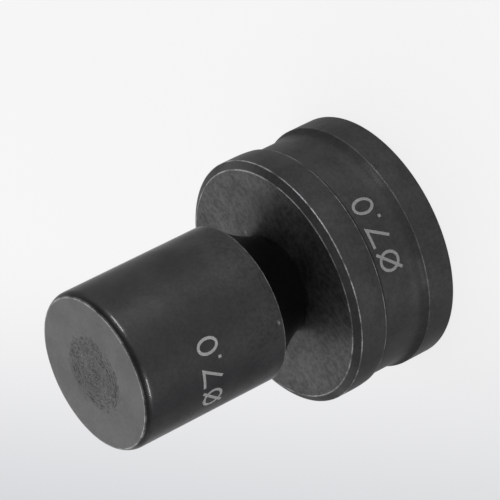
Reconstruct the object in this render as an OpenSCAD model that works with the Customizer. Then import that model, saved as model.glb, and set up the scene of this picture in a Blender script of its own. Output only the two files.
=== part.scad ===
/* [Hole] */
// Diameter of the hole that the set punches, which is the diameter of the punch's tip
hole_d = 7; // [5:0.1:9]
// Thickness of the thickest plate that the set punches
plate_t = 7; // [3:0.5:8]
// How far the tip runs on into the die once it is through the plate
tip_overrun = 2; // [1:0.25:3]
// Cutting gap between the tip and the die's hole, all round
cutting_gap = 0.3; // [0.15:0.05:0.5]
// Room left between the fillet at the tip's root and the die's cutting edge
root_room = 0.05; // [0.02:0.01:0.1]

/* [Die] */
// Outer diameter of the die, over its foot and its lip
die_d = 31.1; // [28:0.1:36]
// Height of the die
die_h = 15; // [14:0.5:20]
// Width of the chamfer round the cutting face, measured across the face
chamfer_w = 0.95; // [0.3:0.05:1.5]
// Height of that chamfer, measured down the lip
chamfer_h = 0.65; // [0.3:0.05:1.2]
// Height of the foot, from the base to its sharp upper edge
foot_h = 3.85; // [3:0.05:4.5]
// Radius that breaks the base's outer edge
base_round = 0.3; // [0.1:0.05:0.8]

/* [Set screw groove] */
// Depth of the groove below the foot and the lip
groove_depth = 0.55; // [0.3:0.05:1]
// Width of the groove's flat bottom
groove_w = 3.6; // [2.5:0.1:4.2]
// Height of the hollow sweep from the foot's edge to the groove's bottom
sweep_h = 2.6; // [1.4:0.1:3]
// Height of the straight flank between the groove's bottom and the lip
flank_h = 0.45; // [0.3:0.05:1]
// Height of the lip's lower stretch, which curves in towards the flank
ease_h = 1.7; // [0.8:0.1:2]
// How far that stretch curves in
ease_in = 0.12; // [0.05:0.01:0.25]

/* [Slug relief] */
// Height of the straight cutting land below the face
land_h = 5; // [3:0.5:8]
// How much wider the relief is than the cutting land, on each side
relief_step = 1; // [0.5:0.1:2]
// Half angle of the cone between the land and the relief
relief_angle = 59; // [30:1:70]
// Chamfer at the relief's mouth in the base
mouth_chamfer = 0.4; // [0.2:0.1:0.8]

/* [Punch] */
// Diameter of the shank
shank_d = 20; // [18:0.1:26]
// Length of the shank, from the flare's edge to the back face
shank_l = 20.4; // [15:0.1:30]
// Radius round the back face
back_round = 0.7; // [0.3:0.05:1.5]
// Diameter of the collar that seats on the die
neck_d = 12.5; // [11.5:0.1:15]
// Length of the straight stretch of the collar
neck_l = 0.25; // [0.2:0.05:1]
// Length of the flare between the collar and the shank
flare_l = 6.05; // [3:0.05:9]
// Radius of the flare's hollow side
flare_r = 15; // [11:0.5:40]
// Break of the edge between the flare and the shank, along each of them
edge_break = 0.15; // [0.05:0.05:0.4]

/* [Hidden] */
$fn = 128;
black_oxide = [0.21, 0.21, 0.215];

// Steps in each quarter turn of a round edge
quarter_steps = 16;

// Shared radii of the tip, the hole it enters and the relief below
tip_r = hole_d / 2;
land_r = tip_r + cutting_gap;
relief_r = land_r + relief_step;
relief_cone_h = relief_step / tan(relief_angle);
relief_top = die_h - land_h - relief_cone_h;

// Die, up from the base
die_r = die_d / 2;
groove_r = die_r - groove_depth;
groove_low = foot_h + sweep_h;
groove_high = groove_low + groove_w;
lip_low = groove_high + flank_h;

// The sweep is one hollow arc, tangent to the groove's bottom
sweep_turn = 2 * atan(groove_depth / sweep_h);
sweep_r = sweep_h / sin(sweep_turn);

// The lip's lower stretch is one full arc, tangent to the lip's wall
ease_turn = 2 * atan(ease_in / ease_h);
ease_r = ease_h / sin(ease_turn);

// Punch, up from the seat on the die's face
tip_l = plate_t + tip_overrun;
root_fillet = cutting_gap - root_room;
neck_r = neck_d / 2;
shank_r = shank_d / 2;
seat_z = die_h;
tip_z = seat_z - tip_l;
flare_low = seat_z + neck_l;
flare_high = flare_low + flare_l;
back_z = flare_high + shank_l;

// The flare is an arc outside the steel, from the collar's rim to the shank's sharp corner
flare_start = [neck_r, flare_low];
flare_end = [shank_r, flare_high];
flare_half = norm(flare_end - flare_start) / 2;
flare_way = (flare_end - flare_start) / (2 * flare_half);
flare_centre = (flare_start + flare_end) / 2
    + sqrt(flare_r * flare_r - flare_half * flare_half) * [flare_way.y, -flare_way.x];
flare_from = atan2(flare_start.y - flare_centre.y, flare_start.x - flare_centre.x);
flare_to = atan2(flare_end.y - flare_centre.y, flare_end.x - flare_centre.x);

// Angle by which the arc stops short of the corner, to leave the edge break
flare_short = edge_break / flare_r * 180 / PI;

// Points of an arc in the profile's plane, from one angle to another
function arc(centre, r, from, to) =
    let (steps = ceil(quarter_steps * abs(to - from) / 90))
    [for (i = [0 : steps]) let (a = from + (to - from) * i / steps) centre + r * [cos(a), sin(a)]];

// Outer wall of the die from the base to the cutting face
function die_outside() = concat(
    arc([die_r - base_round, base_round], base_round, -90, 0),
    arc([groove_r + sweep_r, groove_low], sweep_r, 180 + sweep_turn, 180),
    [[groove_r, groove_high]],
    arc([die_r - ease_r, lip_low + ease_h], ease_r, -ease_turn, 0),
    [
        [die_r, die_h - chamfer_h],
        [die_r - chamfer_w, die_h],
    ]
);

// Wall of the hole from the cutting edge down to the relief's mouth
function die_inside() = [
    [land_r, die_h],
    [land_r, die_h - land_h],
    [relief_r, relief_top],
    [relief_r, mouth_chamfer],
    [relief_r + mouth_chamfer, 0],
];

// Ring with a cutting hole, turned in one piece
module die() {
    color(black_oxide)
        rotate_extrude()
            polygon(concat(die_outside(), die_inside()));
}

// Tip, collar, flare and shank, turned in one piece
module punch() {
    color(black_oxide)
        rotate_extrude()
            polygon(concat(
                [[0, tip_z], [tip_r, tip_z]],
                arc([tip_r + root_fillet, seat_z - root_fillet], root_fillet, 180, 90),
                [[neck_r, seat_z]],
                arc(flare_centre, flare_r, flare_from, flare_to + flare_short),
                [[shank_r, flare_high + edge_break]],
                arc([shank_r - back_round, back_z - back_round], back_round, 0, 90),
                [[0, back_z]]
            ));
}

die();
punch();
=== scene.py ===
"""Looks of a hydraulic hole punch and its die: turned black oxide steel, worn edges and laser marks."""

import functools
import math

import bpy
import numpy as np
from mathutils import Matrix, Vector


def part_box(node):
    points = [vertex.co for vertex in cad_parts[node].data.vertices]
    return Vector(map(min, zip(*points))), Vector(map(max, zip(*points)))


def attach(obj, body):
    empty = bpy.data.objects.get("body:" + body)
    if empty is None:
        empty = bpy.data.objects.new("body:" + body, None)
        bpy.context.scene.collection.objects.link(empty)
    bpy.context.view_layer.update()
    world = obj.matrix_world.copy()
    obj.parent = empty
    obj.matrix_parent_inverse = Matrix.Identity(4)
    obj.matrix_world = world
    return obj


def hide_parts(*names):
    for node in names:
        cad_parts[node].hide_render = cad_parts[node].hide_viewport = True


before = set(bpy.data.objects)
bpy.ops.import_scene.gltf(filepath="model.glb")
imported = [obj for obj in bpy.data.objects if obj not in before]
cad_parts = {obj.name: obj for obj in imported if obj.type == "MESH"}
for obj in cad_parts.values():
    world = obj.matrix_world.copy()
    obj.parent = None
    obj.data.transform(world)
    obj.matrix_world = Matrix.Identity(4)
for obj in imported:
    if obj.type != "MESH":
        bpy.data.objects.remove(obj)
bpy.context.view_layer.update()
scene = bpy.context.scene
scene.view_settings.view_transform = "Standard"

# Sizes in millimetres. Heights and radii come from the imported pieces, the rest repeats the part's source.
MM = 0.001
_, die_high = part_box("die")
punch_low, punch_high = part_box("punch")
DIE_R = die_high.x / MM
DIE_H = die_high.z / MM
SHANK_R = punch_high.x / MM
TIP_Z = punch_low.z / MM
BACK_Z = punch_high.z / MM

CHAMFER_W = 0.95
CHAMFER_H = 0.65
FOOT_H = 3.85
BASE_ROUND = 0.3
GROOVE_DEPTH = 0.55
GROOVE_W = 3.6
SWEEP_H = 2.6
FLANK_H = 0.45
EASE_H = 1.7
EASE_IN = 0.12
LAND_R = 3.8
LAND_H = 5.0
RELIEF_R = 4.8
RELIEF_ANGLE = 59.0
MOUTH_CHAMFER = 0.4
TIP_R = 3.5
ROOT_FILLET = 0.25
NECK_R = 6.25
NECK_L = 0.25
FLARE_L = 6.05
FLARE_R = 15.0
BACK_RISE = 1.08
BACK_IN = 0.44

GROOVE_R = DIE_R - GROOVE_DEPTH
GROOVE_LOW = FOOT_H + SWEEP_H
GROOVE_HIGH = GROOVE_LOW + GROOVE_W
LIP_LOW = GROOVE_HIGH + FLANK_H
LIP_HIGH = DIE_H - CHAMFER_H
FACE_R = DIE_R - CHAMFER_W
RELIEF_TOP = DIE_H - LAND_H - (RELIEF_R - LAND_R) / math.tan(math.radians(RELIEF_ANGLE))
FLARE_LOW = DIE_H + NECK_L
FLARE_HIGH = FLARE_LOW + FLARE_L
RIM_R = SHANK_R - BACK_IN

# Radii that break the edges and fill the groove's corner
EDGE_BREAK = 0.07
FLARE_BREAK = 0.14
TIP_BREAK = 0.03
CUTTING_BREAK = 0.02
RELIEF_BREAK = 0.05
GROOVE_FILLET = 0.12

# Grid of the turned surfaces
TURN_STEPS = 360
ARC_STEPS = 8
HOLLOW_STEPS = 20
RUN_STEPS = 12
RUN_SPACING = 0.5
POINT_GAP = 1e-4
AXIS_GAP = 1e-9

# Rings torn by the facing tool round the centre of the punch's back end. Only points in its band are moved.
END_BAND = BACK_RISE / 4
RING_ZONE_R = 5.8
RING_SAMPLES = 120
RING_SEED = 7
RING_COUNT = 11
RING_FIRST_R = 0.5
RING_EDGE_R = 4.6
RING_LAST_R = RING_EDGE_R + 0.2
RING_HEIGHT = 0.032
RING_WIDTH = (0.09, 0.15)
RING_JITTER = 0.05
RING_DRIFT = 0.06
PIP_R = 0.28
PIP_HEIGHT = 0.05

# How a ring swells round its circle: shares of its even height, slow waves and quick waves, and their numbers
SWELL_EVEN = 0.55
SWELL_SLOW = 0.3
SWELL_QUICK = 0.25
SLOW_WAVES = (1, 5)
QUICK_WAVES = (11, 34)

# Edge of the torn zone: how ragged and how soft it is, and its waves as (number, size)
RING_RAGGED = 0.24
RING_FADE = 0.12
RAGGED_WAVES = ((3, 1.0), (7, 0.7), (19, 0.5))

# Laser marks: a diameter sign and a plain size, read with the set standing on its base
MARK_HEIGHT = 2.95
MARK_STROKE = 0.37
MARK_PROUD = 0.012
MARK_SUNK = 0.03
MARK_STEP = 0.12
CROSSING_LIFT = 0.002
MITRE_LIMIT = 0.35
ELLIPSE_STEPS = 40
GLYPH_GAP = 0.19
SIZE_MARK = ["diameter", "7", "point", "0"]
SHANK_MARK_AZIMUTH = -128.0
SHANK_MARK_Z = 30.55
DIE_MARK_AZIMUTH = -90.5
DIE_MARK_Z = 6.55

# Noise patterns: waves to the millimetre, octaves, and how strong each finer octave is
CLOUD = (0.25, 3.0, 0.6)
SPECKLE = (2.2, 4.0, 0.75)
GRAIN = (4.0, 2.0, 0.7)
PATCHES = (0.5, 3.0, 0.6)
MOTTLE = (1.4, 4.0, 0.75)
TURNING = (1.0, 3.0, 0.7)
CHATTER = (1.0, 2.0, 0.6)
FROST = (5.0, 3.0, 0.6)

# Levels of a noise that are drawn out to 0 and 1, and the level it swings about
SOFT_LEVELS = (0.3, 0.7)
FLECK_LEVELS = (0.32, 0.68)
PATCH_LEVELS = (0.36, 0.62)
MOTTLE_LEVELS = (0.34, 0.66)
CHIP_LEVELS = (0.3, 0.5)
PIT_LEVELS = (0.4, 0.6)
CHATTER_LEVELS = (0.38, 0.62)
LINE_LEVELS = (0.38, 0.6)
FURROW_LEVELS = (0.2, 0.8)
MIDDLE = 0.5

# Turning lines and tool chatter: waves to the radian round the axis, and to the millimetre across them
LINE_TURNS = 1.6
LINE_PITCH = 7.0
CHATTER_TURNS = 7.0
CHATTER_PITCH = 3.4
AXIS_GUARD = 1e-6

# Darkest and lightest shade of a surface as shares of its tone
WALL_SHADES = (0.72, 1.28)
FACED_SHADES = (0.78, 1.2)
TORN_SHADES = (0.02, 1.04)
MOTTLED_SHADES = (0.5, 1.5)

# What the second of two patterns adds to their blend
CLOUD_SHARE = 0.4
LINE_SHARE = 0.3
PATCH_SHARE = 0.3
LINE_RELIEF = 0.1

# Torn end: shares of chatter, lines and grain in its furrows, and how its edge wanders and fades
FURROW_CHATTER = 0.5
FURROW_LINES = 0.35
FURROW_GRAIN = 0.15
TORN_SPECKLE = 1.8
TORN_CHATTER = 2.0
TORN_FADE = (-0.6, 0.3)

# Bare steel on edges and in nicks, partly real wear and partly painted highlight: the core that is worn most,
# and the least that patches and chips leave
BARE_STEEL_AND_HIGHLIGHT = (0.34, 0.34, 0.35, 1.0)
EDGE_CORE = 0.35
PATCH_LEAST = 0.2
CHIP_LEAST = 0.35
NICK_CORE = 0.2
NICK_SHARE = 0.5
RIM_HIGHLIGHT_SPREAD = 0.06

# Oxide and its film of oil: metal share, depth of the grain, swings of film and roughness, fade to the end
OXIDE_METAL = 0.94
GRAIN_DEPTH = 0.012
FILM_SWING = 0.3
SPECKLE_GLOSS = 0.14
LINE_GLOSS = 0.1
END_FADE = (-0.1, -0.06)

# Dry zone on the die's sweep, with little oil: heights over which it begins, and over which it ends
DRY_ZONE = ((FOOT_H, FOOT_H + 0.2), (GROOVE_LOW - 1.8, GROOVE_LOW - 0.8))
DRY_SHARE = 0.72
DRY_ROUGH = 0.12

# Flecked zone of the shank next to the flare, likewise, and how its shades spread and lift: the lift is a
# painted sheen
FLECK_SHEEN_ZONE = ((FLARE_HIGH - 0.2, FLARE_HIGH + 0.2), (FLARE_HIGH + 2.0, FLARE_HIGH + 8.0))
EVEN_SPREAD = 0.65
FLECK_SPREAD = 0.9
FLECK_SHEEN_LIFT = 0.2

# Frosted surface of the laser marks
MARK_PASSES = 3
FROST_SHARE = 0.6
FROST_DEPTH = 0.012
MARK_ROUGH = 0.55
MARK_ROUGH_SWING = 0.2

# Camera of the photograph
AIM = Vector((4.8, -2.42, 17.15)) * MM
DISTANCE = 420.18 * MM
ELEVATION = math.radians(30.297)
ROLL = math.radians(-116.315)
LENS = 256.3
SENSOR = 36.0
CLIP_NEAR = 0.01
CLIP_FAR = 20.0

# Floor: a disc in millimetres, its tones, and the stretches over which it goes from painted grey shade to
# pale
FLOOR_R = 4000
FLOOR_SIDES = 96
FLOOR_GAP = 0.01
FLOOR_SHADE_GREY = (0.63, 0.64, 0.67, 1.0)
FLOOR_PALE = (0.93, 0.93, 0.93, 1.0)
FLOOR_ROUGH = 0.9
FLOOR_SPECULAR = 0.1
FLOOR_OWN = 0.88
ASIDE_X = 0.97
ASIDE_Y = -0.24
ASIDE_FADE = (-60, 0)
PATCH_X_FADE = (-44, -30)
PATCH_Y_FADE = (0, 25)

# Room: tones, and the parts of a direction over which each comes in, upwards or towards the back
HORIZON_TONE = (0.44, 0.44, 0.45, 1.0)
FRONT_TONE = 0.26
OVERHEAD_TONE = 1.0
BEHIND_TONE = 0.72
FRONT_FADE = (0.0, 0.35)
OVERHEAD_FADE = (0.75, 1.0)
BEHIND_FADE = (-0.1, 0.6)


def unit(ways):
    """The same direction or directions with a length of 1."""
    return ways / np.linalg.norm(ways, axis=-1, keepdims=True)


def left_of(ways):
    """Directions turned by a quarter to the left: (x, y) becomes (-y, x)."""
    return np.stack([-ways[:, 1], ways[:, 0]], 1)


def circle(angles):
    """Points of the unit circle: cosine and sine of each angle."""
    return np.stack([np.cos(angles), np.sin(angles)], 1)


def rounded(corners, closed=False):
    """Points (r, z) along a turned profile. Each corner (r, z, radius) becomes an arc tangent to both its
    sides: the centre lies on the line that halves the corner, at the radius over the sine of half the
    corner's angle."""
    table = np.array(corners)
    spots = table[:, :2]
    count = len(spots)
    pieces = []
    for i, (at, radius) in enumerate(zip(spots, table[:, 2])):
        at_end = not closed and i in (0, count - 1)
        if at_end or radius == 0:
            pieces.append(at[None])
            continue
        back = unit(spots[i - 1] - at)
        on = unit(spots[(i + 1) % count] - at)
        half = math.acos(np.clip(back @ on, -1, 1)) / 2
        reach = radius / math.tan(half)
        centre = at + unit(back + on) * radius / math.sin(half)
        first = at + back * reach - centre
        last = at + on * reach - centre
        start = math.atan2(first[1], first[0])
        turn = math.atan2(first[0] * last[1] - first[1] * last[0], first @ last)
        pieces.append(centre + radius * circle(start + turn * np.linspace(0, 1, ARC_STEPS + 1)))
    return filled(pieces, closed)


def filled(pieces, closed):
    """Joins stretches of profile, with points between them that crowd towards both ends of each straight
    run: they follow half of one minus the cosine of an angle that grows evenly to a half turn."""
    points = []
    for i, piece in enumerate(pieces):
        points.append(piece)
        if closed or i + 1 < len(pieces):
            start = piece[-1]
            run = pieces[(i + 1) % len(pieces)][0] - start
            steps = int(np.clip(math.ceil(np.linalg.norm(run) / RUN_SPACING), 1, RUN_STEPS))
            share = 0.5 - 0.5 * np.cos(np.linspace(0, math.pi, steps + 1))
            points.append(start + run * share[1:-1, None])
    points = np.concatenate(points)
    apart = np.linalg.norm(points - np.roll(points, 1, 0), axis=1) > POINT_GAP
    apart[0] |= not closed
    return points[apart]


def bowed(start, end, radius):
    """Corners (r, z, 0) along an arc from start to end of a profile. A positive radius is hollow outwards,
    with its centre outside the steel, and a negative one is full. The centre is off the middle of the chord
    by the root of the radius squared less half the chord squared."""
    start = np.array(start)
    end = np.array(end)
    half = np.linalg.norm(end - start) / 2
    way = (end - start) / (2 * half)
    out = math.copysign(math.sqrt(radius**2 - half**2), radius)
    centre = (start + end) / 2 + out * np.array([way[1], -way[0]])
    spokes = np.stack([start, end]) - centre
    first, last = np.unwrap(np.arctan2(spokes[:, 1], spokes[:, 0]))
    spots = centre + abs(radius) * circle(np.linspace(first, last, HOLLOW_STEPS + 1))
    return np.pad(spots, ((0, 0), (0, 1)))


def arc_radius(rise, depth):
    """Radius of the arc that climbs by rise and moves across by depth, and starts or ends along the axis:
    the sum of their squares over twice the depth."""
    return (rise**2 + depth**2) / (2 * depth)


def turned(name, profile, lift=lambda r, angle, z: 0, closed=False):
    """Surface of revolution: each profile point (r, z) is carried once round Z, and lift(r, angle, z)
    raises it. An open profile starts and ends on the axis, in a fan of triangles."""
    angle = np.linspace(0, 2 * math.pi, TURN_STEPS, endpoint=False)
    on_axis = profile[:, 0] < AXIS_GAP
    rows = profile[~on_axis]
    r = rows[:, :1] + 0 * angle
    z = rows[:, 1:] + 0 * angle
    grid = np.stack([r * np.cos(angle), r * np.sin(angle), z + lift(r, angle, z)], -1)
    index = np.arange(r.size).reshape(r.shape)
    upper = np.roll(index, -1, 0) if closed else index[1:]
    lower = index if closed else index[:-1]
    quads = np.stack([lower, np.roll(lower, -1, 1), np.roll(upper, -1, 1), upper], -1)
    points = [grid.reshape(-1, 3)]
    faces = quads.reshape(-1, 4).tolist()
    if not closed:
        axis_r, axis_z = profile[on_axis].T
        points.append(np.stack([axis_r, axis_r, axis_z + lift(axis_r, 0, axis_z)], 1))
        bottom = np.full(TURN_STEPS, r.size)
        faces += np.stack([np.roll(index[0], -1), index[0], bottom], 1).tolist()
        faces += np.stack([index[-1], np.roll(index[-1], -1), bottom + 1], 1).tolist()
    return shown(name, np.concatenate(points), faces)


def shown(name, points, faces, smooth=True):
    """A mesh object at the origin from points in millimetres."""
    mesh = bpy.data.meshes.new(name)
    mesh.from_pydata((points * MM).tolist(), [], faces)
    mesh.polygons.foreach_set("use_smooth", np.full(len(mesh.polygons), smooth))
    mesh.update()
    piece = bpy.data.objects.new(name, mesh)
    scene.collection.objects.link(piece)
    return piece


def facing_rings(r, angle, z):
    """Height of the torn rings: bell-shaped ridges at jittered radii that swell in sine waves round their
    circles, inside an edge made ragged by sine waves, with a flat-topped pip left at the centre. All of it
    falls below the faced plane, so the end keeps its height."""
    draw = np.random.default_rng(RING_SEED)
    height = 0 * (r + angle)
    for radius in np.linspace(RING_FIRST_R, RING_LAST_R, RING_COUNT):
        middle = radius + draw.normal(0, RING_JITTER)
        width = draw.uniform(*RING_WIDTH)
        slow = draw.integers(*SLOW_WAVES)
        quick = draw.integers(*QUICK_WAVES)
        phase = draw.uniform(0, 2 * math.pi, 3)
        waves = SWELL_SLOW * np.sin(slow * angle + phase[0]) + SWELL_QUICK * np.sin(quick * angle + phase[1])
        drift = RING_DRIFT * np.sin(angle + phase[2])
        height = height + RING_HEIGHT * (SWELL_EVEN + waves) * np.exp(-(((r - middle - drift) / width) ** 2))
    phases = draw.uniform(0, 2 * math.pi, len(RAGGED_WAVES))
    ragged = sum(size * np.sin(number * angle + phase) for (number, size), phase in zip(RAGGED_WAVES, phases))
    inside = 1 / (1 + np.exp((r - RING_EDGE_R - RING_RAGGED * ragged) / RING_FADE))
    pip = PIP_HEIGHT * np.exp(-((r / PIP_R) ** 4))
    on_end = z > BACK_Z - END_BAND
    return on_end * inside * (np.minimum(height, RING_HEIGHT) + pip - RING_HEIGHT - PIP_HEIGHT)


class Signal:
    """A shader value with arithmetic: an expression on signals adds Math nodes to its material."""

    def __init__(self, finish, socket):
        self.finish = finish
        self.socket = socket

    def math(self, operation, *others):
        return self.finish.node("ShaderNodeMath", {"operation": operation}, dict(enumerate((self, *others))))

    def __add__(self, other):
        return self.math("ADD", other)

    def __sub__(self, other):
        return self.math("SUBTRACT", other)

    def __rsub__(self, other):
        return self * -1 + other

    def __mul__(self, other):
        return self.math("MULTIPLY", other)

    def __truediv__(self, other):
        return self.math("DIVIDE", other)

    def __pow__(self, other):
        return self.math("POWER", other)

    __radd__ = __add__
    __rmul__ = __mul__

    def most(self, other):
        """The greater of the two."""
        return self.math("MAXIMUM", other)

    def blend(self, other, share):
        """Sum of both, of which the other has this share."""
        return self * (1 - share) + other * share

    def above(self, least):
        """A value from 0 to 1, drawn in to lie from least to 1."""
        return self * (1 - least) + least

    def ramp(self, low, high):
        """0 at low and 1 at high, with a smooth rise between."""
        settings = {"interpolation_type": "SMOOTHSTEP"}
        return self.finish.node("ShaderNodeMapRange", settings, {0: self, 1: low, 2: high})


class Finish:
    """The nodes of a material or of the world, and the shader that they feed."""

    def __init__(self, owner, shader="Principled BSDF"):
        owner.use_nodes = True
        self.owner = owner
        self.nodes = owner.node_tree.nodes
        self.links = owner.node_tree.links
        self.shader = self.nodes[shader]

    def node(self, kind, settings=None, inputs=None, output=0):
        """Adds a node: its settings first, then its sockets' values or links. One output is the signal."""
        node = self.nodes.new(kind)
        for key, value in (settings or {}).items():
            setattr(node, key, value)
        for key, value in (inputs or {}).items():
            self.feed(node.inputs[key], value)
        return Signal(self, node.outputs[output])

    def feed(self, socket, value):
        """Links a signal to a socket, or sets a plain value on it."""
        if isinstance(value, Signal):
            self.links.new(value.socket, socket)
        else:
            socket.default_value = value

    def set(self, **values):
        """Feeds the shader, with a socket's spaces written as underscores."""
        for key, value in values.items():
            self.feed(self.shader.inputs[key.replace("_", " ")], value)

    def vector(self, x, y, z):
        return self.node("ShaderNodeCombineXYZ", inputs={0: x, 1: y, 2: z})

    def split(self, vector):
        """The x, y and z of a vector."""
        outputs = self.node("ShaderNodeSeparateXYZ", inputs={0: vector}).socket.node.outputs
        return [Signal(self, socket) for socket in outputs]

    def place(self):
        """Object coordinates x, y and z in millimetres."""
        return [part / MM for part in self.split(self.node("ShaderNodeTexCoord", output="Object"))]

    def noise(self, vector, pattern):
        """Noise of a pattern (scale, octaves, strength of the finer ones)."""
        scale, detail, roughness = pattern
        inputs = {"Vector": vector, "Scale": scale, "Detail": detail, "Roughness": roughness}
        return self.node("ShaderNodeTexNoise", inputs=inputs)

    def grey_mix(self, share, first, second):
        """Colour between two greys or colours."""
        settings = {"data_type": "RGBA"}
        return self.node("ShaderNodeMix", settings, {0: share, 6: colour(first), 7: colour(second)}, output=2)

    def shades(self, share, tone, spread):
        """Grey between two shades of one tone."""
        return self.grey_mix(share, tone * spread[0], tone * spread[1])

    def bump(self, height, depth_mm):
        inputs = {"Strength": 1.0, "Distance": depth_mm * MM, "Height": height}
        return self.node("ShaderNodeBump", inputs=inputs)


def colour(value):
    """RGBA of a grey level, or of a colour that is passed on as it is."""
    if isinstance(value, (int, float)):
        return (value, value, value, 1.0)
    return value


class Oxide(Finish):
    """Black oxide over turned steel, with what its looks share: the place on the piece, noise of several
    sizes in space, and turning lines, which are noise drawn out along circles round Z."""

    def __init__(self, name):
        super().__init__(bpy.data.materials.new(name))
        self.x, self.y, self.z = self.place()
        self.r = (self.x * self.x + self.y * self.y + AXIS_GUARD).math("SQRT")
        self.spot = self.vector(self.x, self.y, self.z)
        self.cloud = self.noise(self.spot, CLOUD).ramp(*SOFT_LEVELS)
        self.speckle = self.noise(self.spot, SPECKLE)
        self.flecks = self.speckle.ramp(*FLECK_LEVELS)
        self.grain = self.noise(self.spot, GRAIN)
        self.patches = self.noise(self.spot, PATCHES).ramp(*PATCH_LEVELS)
        self.lines = self.circling(LINE_TURNS, (self.r + self.z) * LINE_PITCH, TURNING)

    def circling(self, turns, along, pattern):
        """Noise at the direction from the axis, times turns, and at a distance along the profile."""
        return self.noise(self.vector(self.x / self.r * turns, self.y / self.r * turns, along), pattern)

    def between(self, rise, fall):
        """1 in a zone of the wall, which begins over the first pair of heights and ends over the second."""
        return self.z.ramp(*rise) * (1 - self.z.ramp(*fall))

    def wear_and_highlights(self, edges, nick):
        """Share of bare steel, which also paints highlight lines along the edges and a glint at the nick. It
        falls with the distance from each edge's circle, broken up by patches and chips, and with the distance
        from the nick's spot, broken up by pits."""
        bands = []
        for edge_r, edge_z, width, strength in edges:
            away = ((self.r - edge_r) ** 2 + (self.z - edge_z) ** 2).math("SQRT")
            bands.append((1 - away.ramp(width * EDGE_CORE, width)) * strength)
        chips = self.grain.ramp(*CHIP_LEVELS).above(CHIP_LEAST)
        worn_and_lit = functools.reduce(Signal.most, bands) * self.patches.above(PATCH_LEAST) * chips
        x, y, z, radius = nick
        away = ((self.x - x) ** 2 + (self.y - y) ** 2 + (self.z - z) ** 2).math("SQRT")
        pits = self.grain.ramp(*PIT_LEVELS) * NICK_SHARE
        return worn_and_lit.most((1 - away.ramp(radius * NICK_CORE, radius)) * pits)

    def walls(self, tone, fleck_sheen_zone):
        """Shades of the turned walls, from speckle and cloud. With a zone of flecks they are more spread in
        it and lighter there, a painted sheen, and less spread outside it."""
        shade = self.flecks.blend(self.cloud, CLOUD_SHARE)
        if fleck_sheen_zone:
            flecked_sheen = self.between(*fleck_sheen_zone)
            # The lift lightens the zone as a painted sheen; the wider spread is coarser turning.
            shade = (shade - MIDDLE) * (EVEN_SPREAD + FLECK_SPREAD * flecked_sheen) + MIDDLE + FLECK_SHEEN_LIFT * flecked_sheen
        return self.shades(shade, tone, WALL_SHADES)

    def torn_end(self, tone, edge_r):
        """Shades of a faced end: furrows of chatter, lines and grain inside a ragged circle, and speckle
        with faint lines outside it."""
        chatter = self.circling(CHATTER_TURNS, self.r * CHATTER_PITCH, CHATTER)
        wander = (self.speckle - MIDDLE) * TORN_SPECKLE + (chatter - MIDDLE) * TORN_CHATTER
        outside = (self.r + wander).ramp(edge_r + TORN_FADE[0], edge_r + TORN_FADE[1])
        smooth = self.shades(self.flecks.blend(self.lines, LINE_SHARE), tone, FACED_SHADES)
        furrows = chatter.ramp(*CHATTER_LEVELS) * FURROW_CHATTER
        furrows = furrows + self.lines.ramp(*LINE_LEVELS) * FURROW_LINES
        furrows = furrows + self.grain.ramp(*SOFT_LEVELS) * FURROW_GRAIN
        ripped = self.shades(furrows.ramp(*FURROW_LEVELS), tone, TORN_SHADES)
        return self.grey_mix(outside, ripped, smooth)

    def mottled_end(self, tone):
        """Shades of a faced end with smudges, from mottle and patches."""
        mottle = self.noise(self.spot, MOTTLE).ramp(*MOTTLE_LEVELS)
        return self.shades(mottle.blend(self.patches, PATCH_SHARE), tone, MOTTLED_SHADES)


def black_oxide(
    name,
    tone,
    edge_tint,
    rough,
    oil,
    oil_rough,
    worn_and_highlit_edges,
    nick,
    end_z,
    end_tone,
    end_rough,
    torn_r=None,
    dry_zone=None,
    fleck_sheen_zone=None,
):
    """Oiled black oxide over turned steel. Bare steel, partly real wear and partly painted highlight, shows
    on the worn edges, each (r, z, width, strength), and in the nick (x, y, z, radius). The flat end at end_z
    has its own tone and added roughness, torn in rings inside torn_r or else mottled. The film of oil follows
    the cloud and is thin in the dry zone.
    Roughness follows speckle and lines, and the relief is grain with faint lines."""
    steel = Oxide(name)
    end = steel.z.ramp(end_z + END_FADE[0], end_z + END_FADE[1])
    flat = steel.torn_end(end_tone, torn_r) if torn_r else steel.mottled_end(end_tone)
    oxide = steel.grey_mix(end, steel.walls(tone, fleck_sheen_zone), flat)
    film = oil * (1 + FILM_SWING * (steel.cloud - MIDDLE))
    gloss = rough + end_rough * end
    gloss = gloss + SPECKLE_GLOSS * (steel.speckle - MIDDLE) + LINE_GLOSS * (steel.lines - MIDDLE)
    if dry_zone:
        hollow = steel.between(*dry_zone)
        film = film * (1 - DRY_SHARE * hollow)
        gloss = gloss + DRY_ROUGH * hollow
    relief = steel.grain.blend(steel.lines, LINE_RELIEF)
    steel.set(
        Base_Color=steel.grey_mix(steel.wear_and_highlights(worn_and_highlit_edges, nick), oxide, BARE_STEEL_AND_HIGHLIGHT),
        Metallic=OXIDE_METAL,
        Roughness=gloss,
        Specular_Tint=colour(edge_tint),
        Coat_Weight=film,
        Coat_Roughness=oil_rough,
        Normal=steel.bump(relief, GRAIN_DEPTH),
    )
    return steel.owner


def laser_mark(name, dark, light):
    """Frosted grey of a laser mark, drawn in close passes along each stroke: a cosine wave to each pass
    across the stroke, which is V, blended with noise."""
    finish = Finish(bpy.data.materials.new(name))
    _, across, _ = finish.split(finish.node("ShaderNodeUVMap", {"uv_map": "UVMap"}))
    passes = (across * (2 * math.pi * MARK_PASSES)).math("COSINE") * -0.5 + 0.5
    frost = finish.noise(finish.vector(*finish.place()), FROST)
    level = passes.blend(frost.ramp(*SOFT_LEVELS), FROST_SHARE)
    finish.set(
        Base_Color=finish.grey_mix(level, dark, light),
        Roughness=MARK_ROUGH + MARK_ROUGH_SWING * (frost - MIDDLE),
        Normal=finish.bump(level, FROST_DEPTH),
    )
    return finish.owner


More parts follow.
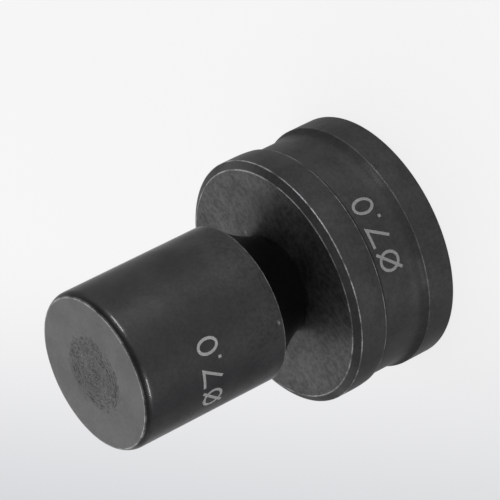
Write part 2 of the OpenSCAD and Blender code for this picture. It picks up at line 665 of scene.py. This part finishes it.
def ellipse(centre, radii):
    """Closed path of an ellipse, drawn once round: the centre plus the radii times a unit circle."""
    angles = np.linspace(0, 2 * math.pi, ELLIPSE_STEPS, endpoint=False)
    return np.array(centre) + np.array(radii) * circle(angles)


# Strokes of each glyph in units of its height, as (path, closed), with the glyph's width
GLYPHS = {
    "diameter": (
        [
            (ellipse((0.46, 0.5), (0.38, 0.42)), True),
            (np.array([(0.02, 0.0), (0.9, 1.0)]), False),
        ],
        0.92,
    ),
    "7": ([(np.array([(0.04, 0.94), (0.84, 0.94), (0.3, 0.06)]), False)], 0.88),
    "point": ([(np.array([(0.08, 0.0), (0.08, 0.14)]), False)], 0.16),
    "0": ([(ellipse((0.36, 0.5), (0.3, 0.44)), True)], 0.72),
}


def dense(path, closed):
    """The same path with points about MARK_STEP apart, so that it follows the curve it is wrapped on."""
    ends = np.roll(path, -1, 0) if closed else path[1:]
    starts = path if closed else path[:-1]
    points = []
    for start, end in zip(starts, ends):
        steps = max(1, math.ceil(np.linalg.norm(end - start) / MARK_STEP))
        points.append(start + (end - start) * np.linspace(0, 1, steps, endpoint=False)[:, None])
    if not closed:
        points.append(path[-1:])
    return np.concatenate(points)


def stroke(path, closed, radius, lift):
    """A flat bar of MARK_STROKE width carried along a path on the unrolled wall (arc, height), mitred at
    its bends, then wrapped on the wall's radius: angle is arc over radius. Returns points, faces and
    (along, across)."""
    path = dense(path, closed)
    count = len(path)
    ahead = np.roll(path, -1, 0) - path
    behind = path - np.roll(path, 1, 0)
    if not closed:
        ahead[-1] = behind[-1]
        behind[0] = ahead[0]
    ahead = unit(ahead)
    side = unit(left_of(ahead + unit(behind)))
    mitre = MARK_STROKE / 2 / np.maximum((side * left_of(ahead)).sum(1), MITRE_LIMIT)
    left = path + side * mitre[:, None]
    right = path - side * mitre[:, None]
    top = radius + MARK_PROUD + lift
    low = radius - MARK_SUNK
    section = np.stack([right, left, left, right], 1)
    reach = np.array([top, top, low, low])
    angle = section[..., 0] / radius
    points = np.stack([reach * np.cos(angle), reach * np.sin(angle), section[..., 1]], -1)
    index = np.arange(count * 4).reshape(count, 4)
    start = index if closed else index[:-1]
    end = np.roll(index, -1, 0) if closed else index[1:]
    faces = np.stack([start, end, np.roll(end, -1, 1), np.roll(start, -1, 1)], -1).reshape(-1, 4)
    if not closed:
        faces = np.concatenate([faces, index[:1], index[-1:, ::-1]])
    along = np.repeat(np.arange(count) * MARK_STEP, 4)
    across = np.tile([0.0, 1.0, 1.0, 0.0], count)
    return points.reshape(-1, 3), faces, np.stack([along, across], 1)


def mark(name, glyphs, radius, azimuth, base_z):
    """A line of glyphs round a wall, centred on an azimuth, reading with rising azimuth and standing on
    base_z. Each further stroke of a glyph lies a little higher, where they cross."""
    width = sum(GLYPHS[glyph][1] for glyph in glyphs) + GLYPH_GAP * (len(glyphs) - 1)
    at = math.radians(azimuth) * radius - width * MARK_HEIGHT / 2
    points, faces, uvs = [], [], []
    base = 0
    for glyph in glyphs:
        strokes, advance = GLYPHS[glyph]
        for number, (path, closed) in enumerate(strokes):
            placed = path * MARK_HEIGHT + np.array([at, base_z])
            made, around, uv = stroke(placed, closed, radius, CROSSING_LIFT * number)
            points.append(made)
            faces.append(around + base)
            uvs.append(uv)
            base += len(made)
        at += (advance + GLYPH_GAP) * MARK_HEIGHT
    piece = shown(name, np.concatenate(points), np.concatenate(faces).tolist(), smooth=False)
    layer = piece.data.uv_layers.new(name="UVMap")
    corners = np.empty(len(piece.data.loops), np.int32)
    piece.data.loops.foreach_get("vertex_index", corners)
    layer.data.foreach_set("uv", np.concatenate(uvs)[corners].astype(np.float32).ravel())
    return piece


def dress(piece, body, material, node=None):
    """Gives a piece its material and its body, and hides the solid that it stands for."""
    piece.data.materials.append(material)
    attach(piece, body)
    if node:
        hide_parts(node)


# Die: foot, sweep, groove, flank, lip, chamfer, face, cutting hole and relief
sweep = bowed((DIE_R, FOOT_H), (GROOVE_R, GROOVE_LOW), arc_radius(SWEEP_H, GROOVE_DEPTH))
ease = bowed((DIE_R - EASE_IN, LIP_LOW), (DIE_R, LIP_LOW + EASE_H), -arc_radius(EASE_H, EASE_IN))
die_profile = rounded(
    [
        (DIE_R, 0.0, BASE_ROUND),
        (DIE_R, FOOT_H, EDGE_BREAK),
        *sweep[1:],
        (GROOVE_R, GROOVE_HIGH, GROOVE_FILLET),
        (DIE_R - EASE_IN, LIP_LOW, EDGE_BREAK),
        *ease[1:],
        (DIE_R, LIP_HIGH, EDGE_BREAK),
        (FACE_R, DIE_H, EDGE_BREAK),
        (LAND_R, DIE_H, CUTTING_BREAK),
        (LAND_R, DIE_H - LAND_H, RELIEF_BREAK),
        (RELIEF_R, RELIEF_TOP, RELIEF_BREAK),
        (RELIEF_R, MOUTH_CHAMFER, EDGE_BREAK),
        (RELIEF_R + MOUTH_CHAMFER, 0.0, EDGE_BREAK),
    ],
    closed=True,
)
die_steel = black_oxide(
    "black_oxide_die",
    tone=0.0352,
    edge_tint=0.47,
    rough=0.58,
    oil=0.17,
    oil_rough=0.24,
    # The light lines along these edges are partly real wear and partly painted highlight.
    worn_and_highlit_edges=[
        (FACE_R, DIE_H, 0.12, 0.85),
        (DIE_R, LIP_HIGH, 0.115, 1.0),
        (DIE_R - EASE_IN, LIP_LOW, 0.13, 0.6),
        (DIE_R, FOOT_H, 0.1, 0.15),
    ],
    nick=(6.9, 0.4, DIE_H, 0.45),
    end_z=DIE_H,
    end_tone=0.0485,
    end_rough=0.05,
    dry_zone=DRY_ZONE,
)
die_skin = turned("die_turned", die_profile, closed=True)
dress(die_skin, "die", die_steel, "die")

# Punch: tip, collar, flare, shank and the faced back end
flare = bowed((NECK_R, FLARE_LOW), (SHANK_R, FLARE_HIGH), FLARE_R)
back_edge = bowed((SHANK_R, BACK_Z - BACK_RISE), (RIM_R, BACK_Z), -arc_radius(BACK_RISE, BACK_IN))
body_profile = rounded(
    [
        (0.0, TIP_Z, 0.0),
        (TIP_R, TIP_Z, TIP_BREAK),
        (TIP_R, DIE_H, ROOT_FILLET),
        (NECK_R, DIE_H, TIP_BREAK),
        *flare[:-1],
        (SHANK_R, FLARE_HIGH, FLARE_BREAK),
        *back_edge[:-1],
        (RIM_R, BACK_Z, EDGE_BREAK),
        (RING_ZONE_R, BACK_Z, 0.0),
    ]
)
ring_rows = np.linspace(RING_ZONE_R, 0, RING_SAMPLES)[1:]
ring_profile = np.stack([ring_rows, np.full(len(ring_rows), BACK_Z)], 1)
punch_profile = np.concatenate([body_profile, ring_profile])
punch_steel = black_oxide(
    "black_oxide_punch",
    tone=0.0272,
    edge_tint=0.38,
    rough=0.37,
    oil=0.28,
    oil_rough=0.12,
    # The rim's two bands are mostly painted highlight, the light ring round the back edge, with some real
    # wear.
    worn_and_highlit_edges=[
        (SHANK_R, FLARE_HIGH, 0.11, 0.75),
        (RIM_R, BACK_Z, 0.19, 0.55),
        (RIM_R + RIM_HIGHLIGHT_SPREAD, BACK_Z - RIM_HIGHLIGHT_SPREAD, 0.18, 0.5),
    ],
    nick=(-4.2, -9.05, FLARE_HIGH + 0.5, 0.4),
    end_z=BACK_Z,
    end_tone=0.05,
    end_rough=0.08,
    torn_r=RING_EDGE_R,
    fleck_sheen_zone=FLECK_SHEEN_ZONE,
)
punch_skin = turned("punch_turned", punch_profile, facing_rings)
dress(punch_skin, "punch", punch_steel, "punch")

# Size marks
shank_mark = mark("punch_size_mark", SIZE_MARK, SHANK_R, SHANK_MARK_AZIMUTH, SHANK_MARK_Z)
dress(shank_mark, "punch", laser_mark("laser_mark_punch", dark=0.14, light=0.28))
die_mark = mark("die_size_mark", SIZE_MARK, GROOVE_R, DIE_MARK_AZIMUTH, DIE_MARK_Z)
dress(die_mark, "die", laser_mark("laser_mark_die", dark=0.1, light=0.21))


def aim_camera():
    """Camera on a sphere round the aim point, rolled about its own line of sight."""
    right = Vector((1, 0, 0))
    up = Vector((0, math.sin(ELEVATION), math.cos(ELEVATION)))
    back = right.cross(up)
    across = right * math.cos(ROLL) + up * math.sin(ROLL)
    over = up * math.cos(ROLL) - right * math.sin(ROLL)
    turn = Matrix((across, over, back)).transposed().to_4x4()
    data = bpy.data.cameras.new("camera")
    data.lens = LENS
    data.sensor_width = SENSOR
    data.clip_start = CLIP_NEAR
    data.clip_end = CLIP_FAR
    camera = bpy.data.objects.new("camera", data)
    camera.matrix_world = Matrix.Translation(AIM + back * DISTANCE) @ turn
    scene.collection.objects.link(camera)
    scene.camera = camera


def softbox(name, azimuth, elevation, distance, width, height, radiance):
    """Rectangular lamp that faces the object from a direction, in degrees and metres. Its power is its even
    radiance times pi times its area."""
    a = math.radians(azimuth)
    e = math.radians(elevation)
    back = Vector((math.cos(a) * math.cos(e), math.sin(a) * math.cos(e), math.sin(e)))
    data = bpy.data.lights.new(name, "AREA")
    data.shape = "RECTANGLE"
    data.size = width
    data.size_y = height
    data.energy = radiance * math.pi * width * height
    lamp = bpy.data.objects.new(name, data)
    target = Vector((0, 0, BACK_Z / 2 * MM))
    turn = back.to_track_quat("Z", "Y").to_matrix().to_4x4()
    lamp.matrix_world = Matrix.Translation(target + back * distance) @ turn
    scene.collection.objects.link(lamp)


def seen(finish):
    """1 for rays that see a surface, directly, in a reflection or through glass, and 0 for falling light."""
    path = finish.node("ShaderNodeLightPath").socket.node.outputs
    kinds = ("Is Camera Ray", "Is Glossy Ray", "Is Transmission Ray")
    return functools.reduce(Signal.most, [Signal(finish, path[kind]) for kind in kinds])


def floor():
    """Wide pale disc under the die, with painted shade: grey towards its left side and pale again in a patch
    beyond.
    Most of what is seen of it is its own tone, and the rest is lit."""
    angle = np.linspace(0, 2 * math.pi, FLOOR_SIDES, endpoint=False)
    rim = np.pad(FLOOR_R * circle(angle), ((0, 0), (0, 1)), constant_values=-FLOOR_GAP)
    piece = shown("floor", rim, [list(range(FLOOR_SIDES))])
    finish = Finish(bpy.data.materials.new("pale_floor"))
    x, y, _ = finish.place()
    aside = x * ASIDE_X + y * ASIDE_Y
    patch = (1 - x.ramp(*PATCH_X_FADE)) * y.ramp(*PATCH_Y_FADE)
    # Painted shade: the floor is grey towards its left side, and the steel reflects it.
    tone = finish.grey_mix(aside.ramp(*ASIDE_FADE).most(patch), FLOOR_SHADE_GREY, FLOOR_PALE)
    finish.set(Base_Color=tone, Roughness=FLOOR_ROUGH, Specular_IOR_Level=FLOOR_SPECULAR)
    lit = Signal(finish, finish.shader.outputs[0])
    own = finish.node("ShaderNodeEmission", inputs={"Color": tone, "Strength": 1.0})
    mixed = finish.node("ShaderNodeMixShader", inputs={0: seen(finish) * FLOOR_OWN, 1: lit, 2: own})
    finish.feed(finish.nodes["Material Output"].inputs["Surface"], mixed)
    piece.data.materials.append(finish.owner)


def surroundings():
    """Room light by direction: pale at the level of the floor's far edge, dim above it, bright overhead,
    and pale on the whole side behind the set."""
    scene.world = bpy.data.worlds.new("room")
    room = Finish(scene.world, "Background")
    _, behind, height = room.split(room.node("ShaderNodeTexCoord", output="Generated"))
    tone = room.grey_mix(height.ramp(*FRONT_FADE), HORIZON_TONE, FRONT_TONE)
    tone = room.grey_mix(height.ramp(*OVERHEAD_FADE), tone, OVERHEAD_TONE)
    tone = room.grey_mix(behind.ramp(*BEHIND_FADE), tone, BEHIND_TONE)
    room.set(Color=tone)


aim_camera()
floor()
surroundings()
softbox("strip_right", azimuth=-46.5, elevation=-2.3, distance=0.2, width=0.088, height=0.025, radiance=29.0)
softbox("strip_left", azimuth=-135.5, elevation=-1.8, distance=0.25, width=0.11, height=0.026, radiance=30.0)
softbox("softbox_back", azimuth=90, elevation=36, distance=0.6, width=1.1, height=0.45, radiance=1.8)
